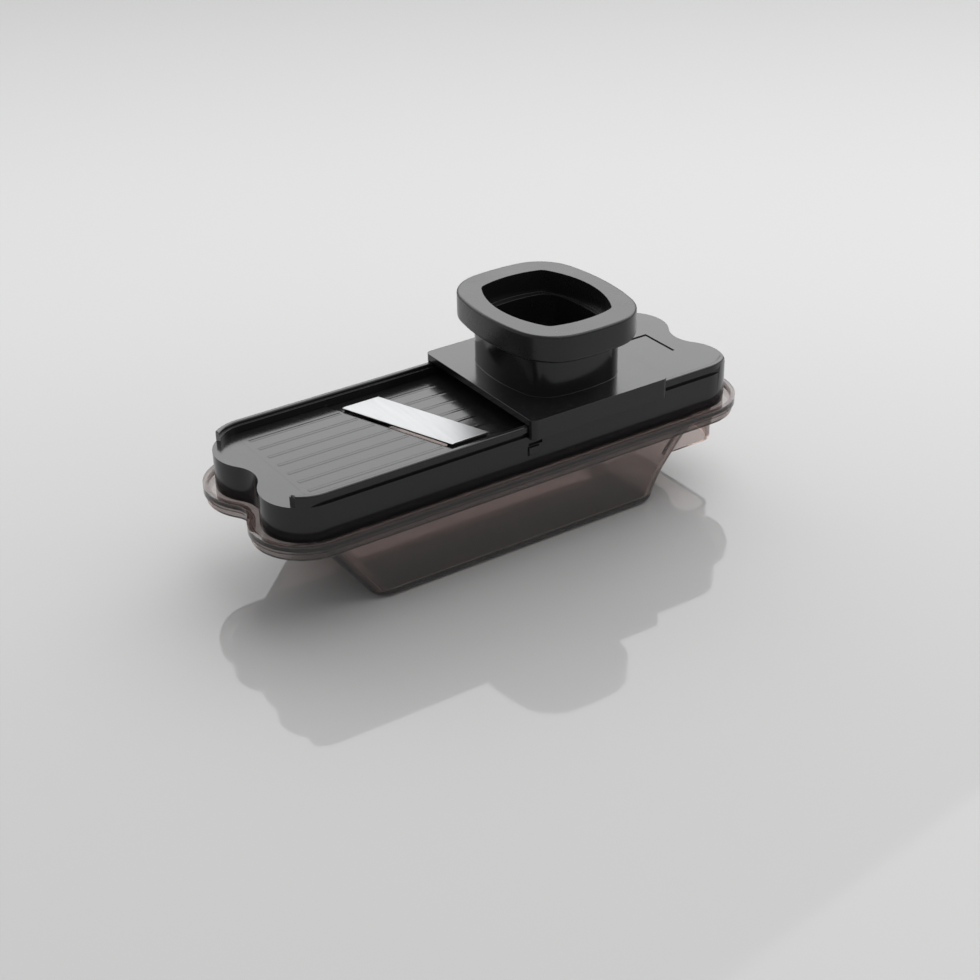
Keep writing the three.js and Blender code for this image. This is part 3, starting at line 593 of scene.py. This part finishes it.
# %% Build the carriage
CHUTE_HALF_X = 27.3
CHUTE_HALF_Y = 30.9
CHUTE_CORNER = 15.0
SIDE_RADIUS = 80.0
CHUTE_WALL = 2.5
PLATE_TOP = 65.9
PLATE_LOW = RAIL_TOP + GAP
HOOK_LOW, HOOK_HIGH = 57.8, 59.2


def chute_form(inset, z0, z1, name):
    return bowed_block(
        CHUTE_HALF_X - inset, CHUTE_HALF_Y - inset, CHUTE_CORNER - inset, SIDE_RADIUS - inset, z0, z1, name
    )


def build_carriage():
    plate = rounded_block(
        CARRIAGE_LEFT, CARRIAGE_RIGHT, CARRIAGE_FRONT, CARRIAGE_BACK, SKIRT_LOW, PLATE_TOP, 3, "plate"
    )
    inside = BODY_BACK + GAP
    left, right = CARRIAGE_LEFT - 1, CARRIAGE_RIGHT + 1
    plate = cut(plate, block(left, right, -inside, inside, SKIRT_LOW - 1, PLATE_LOW))
    for side in (-1, 1):
        y0, y1 = sorted((side * (BODY_BACK - 1), side * (inside + 0.5)))
        plate = join(plate, block(CARRIAGE_LEFT + 3, CARRIAGE_RIGHT - 3, y0, y1, HOOK_LOW, HOOK_HIGH))
    plate = join(plate, chute_form(0, 59.7, CHUTE_TOP, "chute"))
    plate = cut(plate, chute_form(CHUTE_WALL, 58, CHUTE_TOP + 1, "chute_hollow"))
    return soften(plate, 0.55, 3)


settle(build_carriage(), "carriage", "black_gloss", "carriage")

# %% [markdown]
# ## The plunger
# The palm presses on a broad head with a well for the fingertips. A sleeve runs down inside the chute to a
# floor that carries the pusher plate. The head's top and bottom edges are rounded more than the rest, and two
# crossed webs hidden in the head tie its outer wall to the well and the sleeve.

# %% Build the plunger
WELL_HALF_X, WELL_HALF_Y, WELL_CORNER, WELL_SIDE = 24.4, 29.4, 5.0, 50.0
SCREW_X, SCREW_Y, SCREW_RADIUS = 12, 15, 1.55
WEB_HALF = 0.8


def well_form(inset, z0, z1, name):
    return bowed_block(
        WELL_HALF_X - inset, WELL_HALF_Y - inset, WELL_CORNER - inset, WELL_SIDE - inset, z0, z1, name
    )


def build_plunger():
    half_x, half_y, corner, side = 33.3, 40.8, 22.0, 105.0
    head_low, skin, step = CHUTE_TOP + GAP, 2.2, 88.3
    web_low, web_high = head_low + 1.5, HEAD_TOP - 1
    sleeve = CHUTE_WALL + 0.5
    head = bowed_block(half_x, half_y, corner, side, head_low, HEAD_TOP, "head", 16)
    head = rounded_edge(head, HEAD_TOP, 1.3)
    head = rounded_edge(head, head_low, 1.6)
    hollow = bowed_block(
        half_x - skin, half_y - skin, corner - skin, side - skin, head_low - 1, HEAD_TOP - skin, "head_hollow"
    )
    head = cut(head, hollow)
    head = join(head, block(CHUTE_X - 32, CHUTE_X + 32, -WEB_HALF, WEB_HALF, web_low, web_high))
    head = join(head, block(CHUTE_X - WEB_HALF, CHUTE_X + WEB_HALF, -39, 39, web_low, web_high))
    head = join(head, chute_form(sleeve, SLEEVE_LOW, step, "sleeve"))
    head = join(head, well_form(-skin, head_low, HEAD_TOP - 1, "well_wall"))
    head = cut(head, chute_form(sleeve + skin, SLEEVE_LOW + 2, step + 0.5, "sleeve_hollow"))
    head = cut(head, well_form(0, step, HEAD_TOP + 1, "well"))
    for x in (-SCREW_X, SCREW_X):
        for y in (-SCREW_Y, SCREW_Y):
            head = cut(head, round_post(CHUTE_X + x, y, SLEEVE_LOW - 1, SLEEVE_LOW + 3, SCREW_RADIUS))
    return soften(head, 0.6, 3)


settle(build_plunger(), "plunger", "black_satin", "plunger_body")

# %% [markdown]
# ## Pusher, catches, screws and springs
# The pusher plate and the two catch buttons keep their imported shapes, and their edges are rounded. The
# buttons are rounded more, so that each catch shows as a soft outline in the body's wall. The screws and the
# springs stay as they were packed.

# %% Round the small pieces
settle(rounded_copy("pusher_plate", 0.2), "plunger", "black_satin", "pusher_plate")
for place in ("front", "back"):
    node = "catch_button_" + place
    settle(rounded_copy(node, 0.45, 3), "catch_" + place, "black_satin", node)

# %% [markdown]
# ## Effects that several finishes share
# Polished plastic is never perfectly even: its gloss varies slightly, and a little dust lies on what faces
# up. These are shader groups that put out plain values, so each finish can place them with its own amounts.

# %% Helpers for shader nodes
def add_node(tree, kind, place, **inputs):
    node = tree.nodes.new(kind)
    node.location = place
    for name, value in inputs.items():
        node.inputs[name.replace("_", " ")].default_value = value
    return node


def new_group(name, inputs, outputs):
    group = bpy.data.node_groups.new(name, "ShaderNodeTree")
    for title, value in inputs.items():
        socket = group.interface.new_socket(title, in_out="INPUT", socket_type="NodeSocketFloat")
        socket.default_value = value
    for title in outputs:
        group.interface.new_socket(title, in_out="OUTPUT", socket_type="NodeSocketFloat")
    return group, group.nodes.new("NodeGroupInput"), group.nodes.new("NodeGroupOutput")


# %% Uneven gloss and fine grain
def build_gloss_group():
    amounts = {"Base": 0.15, "Spread": 0.05, "Patch": 40.0, "Grain": 900.0}
    group, ins, outs = new_group("moulded gloss", amounts, ["Roughness", "Height"])
    place = add_node(group, "ShaderNodeTexCoord", (-900, 0))
    patch = add_node(group, "ShaderNodeTexNoise", (-650, 150), Detail=4.0, Roughness=0.6)
    grain = add_node(group, "ShaderNodeTexNoise", (-650, -150), Detail=2.0, Roughness=0.5)
    centre = add_node(group, "ShaderNodeMath", (-430, 150))
    centre.operation = "SUBTRACT"
    centre.inputs[1].default_value = 0.5
    spread = add_node(group, "ShaderNodeMath", (-230, 150))
    spread.operation = "MULTIPLY_ADD"
    link = group.links.new
    for texture, scale in ((patch, "Patch"), (grain, "Grain")):
        link(place.outputs["Object"], texture.inputs["Vector"])
        link(ins.outputs[scale], texture.inputs["Scale"])
    link(patch.outputs["Fac"], centre.inputs[0])
    link(centre.outputs[0], spread.inputs[0])
    link(ins.outputs["Spread"], spread.inputs[1])
    link(ins.outputs["Base"], spread.inputs[2])
    link(spread.outputs[0], outs.inputs["Roughness"])
    link(grain.outputs["Fac"], outs.inputs["Height"])
    return group


# %% Dust on upward faces
def build_dust_group():
    group, ins, outs = new_group("settled dust", {"Amount": 0.3, "Speck": 260.0}, ["Mask"])
    place = add_node(group, "ShaderNodeTexCoord", (-900, 0))
    facing = add_node(group, "ShaderNodeSeparateXYZ", (-650, 200))
    specks = add_node(group, "ShaderNodeTexNoise", (-650, -50), Detail=6.0, Roughness=0.7)
    sparse = add_node(group, "ShaderNodeMapRange", (-430, -50))
    sparse.inputs["From Min"].default_value = 0.56
    sparse.inputs["From Max"].default_value = 0.8
    upward = add_node(group, "ShaderNodeMath", (-430, 200))
    upward.operation = "MAXIMUM"
    upward.inputs[1].default_value = 0.0
    both = add_node(group, "ShaderNodeMath", (-230, 100))
    both.operation = "MULTIPLY"
    much = add_node(group, "ShaderNodeMath", (-60, 100))
    much.operation = "MULTIPLY"
    much.use_clamp = True
    link = group.links.new
    link(place.outputs["Normal"], facing.inputs[0])
    link(place.outputs["Object"], specks.inputs["Vector"])
    link(ins.outputs["Speck"], specks.inputs["Scale"])
    link(specks.outputs["Fac"], sparse.inputs["Value"])
    link(facing.outputs["Z"], upward.inputs[0])
    link(sparse.outputs["Result"], both.inputs[0])
    link(upward.outputs[0], both.inputs[1])
    link(both.outputs[0], much.inputs[0])
    link(ins.outputs["Amount"], much.inputs[1])
    link(much.outputs[0], outs.inputs["Mask"])
    return group


GLOSS_GROUP = build_gloss_group()
DUST_GROUP = build_dust_group()
print("shader groups:", [group.name for group in bpy.data.node_groups])

# %% [markdown]
# ## Black plastic, polished and satin
# Both are the same deep grey. The polished one is smooth, so what faces up mirrors the bright room at a
# grazing angle and looks pale, while the sides stay dark. The satin one blurs that mirror image.

# %% Plastic finishes
def use_group(tree, group, place, **inputs):
    node = tree.nodes.new("ShaderNodeGroup")
    node.node_tree = group
    node.location = place
    for name, value in inputs.items():
        node.inputs[name].default_value = value
    return node


def start_finish(name):
    material = bpy.data.materials.new(name)
    material.use_nodes = True
    tree = material.node_tree
    return material, tree, tree.nodes["Principled BSDF"]


def plastic(name, colour, dust_colour, base, spread, dust, grain_depth):
    material, tree, surface = start_finish(name)
    gloss = use_group(tree, GLOSS_GROUP, (-500, -100), Base=base, Spread=spread)
    dusty = use_group(tree, DUST_GROUP, (-500, 200), Amount=dust)
    tint = add_node(tree, "ShaderNodeMix", (-250, 200))
    tint.data_type = "RGBA"
    tint.inputs["A"].default_value = (*colour, 1)
    tint.inputs["B"].default_value = (*dust_colour, 1)
    bump = add_node(tree, "ShaderNodeBump", (-250, -200), Strength=0.08)
    bump.inputs["Distance"].default_value = grain_depth
    link = tree.links.new
    link(dusty.outputs["Mask"], tint.inputs["Factor"])
    link(tint.outputs["Result"], surface.inputs["Base Color"])
    link(gloss.outputs["Roughness"], surface.inputs["Roughness"])
    link(gloss.outputs["Height"], bump.inputs["Height"])
    link(bump.outputs["Normal"], surface.inputs["Normal"])
    surface.inputs["IOR"].default_value = 1.5
    return material


BLACK = (0.011, 0.011, 0.012)
DUST = (0.22, 0.21, 0.2)
black_gloss = plastic(
    "polished black plastic", BLACK, DUST, base=0.17, spread=0.08, dust=0.1, grain_depth=0.00002
)
black_satin = plastic(
    "satin black plastic", BLACK, DUST, base=0.27, spread=0.08, dust=0.1, grain_depth=0.00004
)

# %% [markdown]
# ## Smoky clear plastic
# The container lets light through but darkens it, as tinted moulded plastic does. Most of its brown comes
# from depth: the plastic absorbs light along the way, so thick places look darker than thin ones. Above a set
# height the surface colour is painted darker too. This is painted shade for the black body seen behind and
# under the rim, which is the same moulding as the tub, and it sets the rim apart. The gloss varies a little,
# so the far wall looks slightly soft.

# %% Container finish
RIM_PAINTED_SHADE_HEIGHTS = (33.5, 35.5)
TUB_TINT = (0.9, 0.87, 0.855)
# The rim's darker colour is painted shade, not a different plastic: it stands in for the black body behind
# the rim.
RIM_PAINTED_SHADE_TINT = (0.5, 0.49, 0.49)
DEPTH_TINT = (0.46, 0.31, 0.26)


def smoky(name):
    material, tree, surface = start_finish(name)
    gloss = use_group(tree, GLOSS_GROUP, (-500, -100), Base=0.05, Spread=0.05, Patch=25.0)
    place = add_node(tree, "ShaderNodeTexCoord", (-900, 200))
    height = add_node(tree, "ShaderNodeSeparateXYZ", (-700, 200))
    # Painted shade: over these heights the colour turns from the tub's tint to the rim's darker one.
    rim = add_node(tree, "ShaderNodeMapRange", (-500, 200))
    rim.inputs["From Min"].default_value = RIM_PAINTED_SHADE_HEIGHTS[0] * MM
    rim.inputs["From Max"].default_value = RIM_PAINTED_SHADE_HEIGHTS[1] * MM
    shade = add_node(tree, "ShaderNodeMix", (-250, 200))
    shade.data_type = "RGBA"
    shade.inputs["A"].default_value = (*TUB_TINT, 1)
    shade.inputs["B"].default_value = (*RIM_PAINTED_SHADE_TINT, 1)
    depth = add_node(tree, "ShaderNodeVolumeAbsorption", (0, -400), Density=360.0)
    depth.inputs["Color"].default_value = (*DEPTH_TINT, 1)
    link = tree.links.new
    link(place.outputs["Object"], height.inputs[0])
    link(height.outputs["Z"], rim.inputs["Value"])
    link(rim.outputs["Result"], shade.inputs["Factor"])
    link(shade.outputs["Result"], surface.inputs["Base Color"])
    link(gloss.outputs["Roughness"], surface.inputs["Roughness"])
    link(depth.outputs["Volume"], tree.nodes["Material Output"].inputs["Volume"])
    surface.inputs["Transmission Weight"].default_value = 0.95
    surface.inputs["IOR"].default_value = 1.49
    return material


smoky_clear = smoky("smoky clear plastic")

# %% [markdown]
# ## Steel
# The blade is ground along its length, so its brush marks run with the edge. A noise stretched along one
# direction makes them, as a small change in gloss and a fine bump.

# %% Steel finishes
def steel(name, colour, rough, turn, depth):
    material, tree, surface = start_finish(name)
    place = add_node(tree, "ShaderNodeTexCoord", (-1100, 0))
    along = add_node(tree, "ShaderNodeMapping", (-900, 0))
    along.inputs["Rotation"].default_value = (0, 0, turn)
    along.inputs["Scale"].default_value = (2600, 40, 600)
    marks = add_node(tree, "ShaderNodeTexNoise", (-650, 0), Scale=1.0, Detail=3.0)
    gloss = add_node(tree, "ShaderNodeMapRange", (-400, 100))
    gloss.inputs["To Min"].default_value = rough * 0.7
    gloss.inputs["To Max"].default_value = rough * 1.4
    bump = add_node(tree, "ShaderNodeBump", (-250, -200), Strength=0.15)
    bump.inputs["Distance"].default_value = depth
    link = tree.links.new
    link(place.outputs["Object"], along.inputs["Vector"])
    link(along.outputs["Vector"], marks.inputs["Vector"])
    link(marks.outputs["Fac"], gloss.inputs["Value"])
    link(gloss.outputs["Result"], surface.inputs["Roughness"])
    link(marks.outputs["Fac"], bump.inputs["Height"])
    link(bump.outputs["Normal"], surface.inputs["Normal"])
    surface.inputs["Base Color"].default_value = (*colour, 1)
    surface.inputs["Metallic"].default_value = 1.0
    return material


blade_steel = steel(
    "ground blade steel", (0.36, 0.365, 0.37), rough=0.36, turn=math.atan(LEAN), depth=0.00001
)
screw_steel = steel("zinc screw", (0.62, 0.63, 0.65), rough=0.32, turn=0, depth=0.00001)

# %% [markdown]
# ## Put the finishes on
# Each new piece takes one finish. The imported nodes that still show, the screws and the springs, take theirs
# in their own material slots.

# %% Assign finishes
def wear(piece, material):
    piece.data.materials.clear()
    piece.data.materials.append(material)


FINISHES = {
    "smoky_clear": smoky_clear,
    "black_gloss": black_gloss,
    "black_satin": black_satin,
    "blade_steel": blade_steel,
    "zinc_screw": screw_steel,
    "spring_steel": screw_steel,
}
slots = {entry["node"]: entry["material_slot"] for entry in frame["record"]["subparts"]}
for node, material_slot in slots.items():
    shown = bpy.data.objects.get("shown_" + node)
    wear(shown or frame["nodes"][node], FINISHES[material_slot])
print("finished", len(slots), "pieces")

# %% [markdown]
# ## Floor, light and camera
# A pale glossy floor shows the slicer's faint mirror image. The surroundings are a pale room that brightens
# smoothly towards one patch behind the slicer. The flat tops mirror that patch into the camera, so they look
# pale while the sides stay dark. One broad lamp overhead, to the right, reaches the rounded edges that run
# along the slicer's length.

# %% Floor
def build_floor():
    clear_selection()
    bpy.ops.mesh.primitive_plane_add(size=8, location=(0, 0, -0.0002))
    floor = bpy.context.object
    floor.name = "floor"
    bpy.ops.object.transform_apply(location=True, rotation=True, scale=True)
    material, tree, surface = start_finish("pale floor")
    gloss = use_group(tree, GLOSS_GROUP, (-500, -100), Base=0.05, Spread=0.02, Patch=6.0)
    tree.links.new(gloss.outputs["Roughness"], surface.inputs["Roughness"])
    surface.inputs["Base Color"].default_value = (0.5, 0.5, 0.5, 1)
    surface.inputs["IOR"].default_value = 1.35
    wear(floor, material)
    return floor


build_floor()


# %% Lights
def soft_light(name, place, aim, width, height, power):
    clear_selection()
    bpy.ops.object.light_add(type="AREA", location=place)
    lamp = bpy.context.object
    lamp.name = name
    lamp.data.shape = "RECTANGLE"
    lamp.data.size = width
    lamp.data.size_y = height
    lamp.data.energy = power
    lamp.rotation_euler = (Vector(aim) - Vector(place)).to_track_quat("-Z", "Y").to_euler()
    return lamp


soft_light("overhead", place=(0.75, -0.15, 1.5), aim=(0, 0, 0.05), width=2.0, height=2.0, power=16.0)


# %% Pale room with one bright side
def pale_room(dim, bright, swing, height, half_width, half_height):
    """A world that is dim all round and brightens smoothly towards one patch above the horizon."""
    world = bpy.data.worlds.new("pale room")
    world.use_nodes = True
    tree = world.node_tree
    direction = add_node(tree, "ShaderNodeTexCoord", (-900, 0))
    turned = add_node(tree, "ShaderNodeMapping", (-700, 0))
    turned.vector_type = "TEXTURE"
    turned.inputs["Rotation"].default_value = (height, 0, swing)
    turned.inputs["Scale"].default_value = (half_width, 1000, half_height)
    patch = add_node(tree, "ShaderNodeTexGradient", (-500, 0))
    patch.gradient_type = "SPHERICAL"
    strength = add_node(tree, "ShaderNodeMapRange", (-300, 0))
    strength.interpolation_type = "SMOOTHSTEP"
    strength.inputs["From Min"].default_value = 0.04
    strength.inputs["From Max"].default_value = 0.64
    strength.inputs["To Min"].default_value = dim
    strength.inputs["To Max"].default_value = bright
    link = tree.links.new
    link(direction.outputs["Generated"], turned.inputs["Vector"])
    link(turned.outputs["Vector"], patch.inputs["Vector"])
    link(patch.outputs["Fac"], strength.inputs["Value"])
    link(strength.outputs["Result"], tree.nodes["Background"].inputs["Strength"])
    tree.nodes["Background"].inputs["Color"].default_value = (1, 1, 1, 1)
    return world


CAMERA_SWING = math.radians(-33.3365)
bpy.context.scene.world = pale_room(
    dim=0.4, bright=2.75, swing=CAMERA_SWING, height=math.radians(35), half_width=1.2, half_height=0.47
)
bpy.context.scene.view_settings.view_transform = "Standard"

# %% Camera
CAMERA_PLACE = (-0.39627, -0.61029, 0.42627)
CAMERA_FALL = math.radians(29.6353)
CAMERA_ROLL = math.radians(-1.0490)
bpy.ops.object.camera_add(location=CAMERA_PLACE)
camera = bpy.context.object
camera.name = "camera"
camera.data.sensor_width = 36
camera.data.lens = 67.005
turn = (
    Matrix.Rotation(CAMERA_SWING, 4, "Z")
    @ Matrix.Rotation(math.pi / 2 - CAMERA_FALL, 4, "X")
    @ Matrix.Rotation(CAMERA_ROLL, 4, "Z")
)
camera.rotation_euler = turn.to_euler()
bpy.context.scene.camera = camera
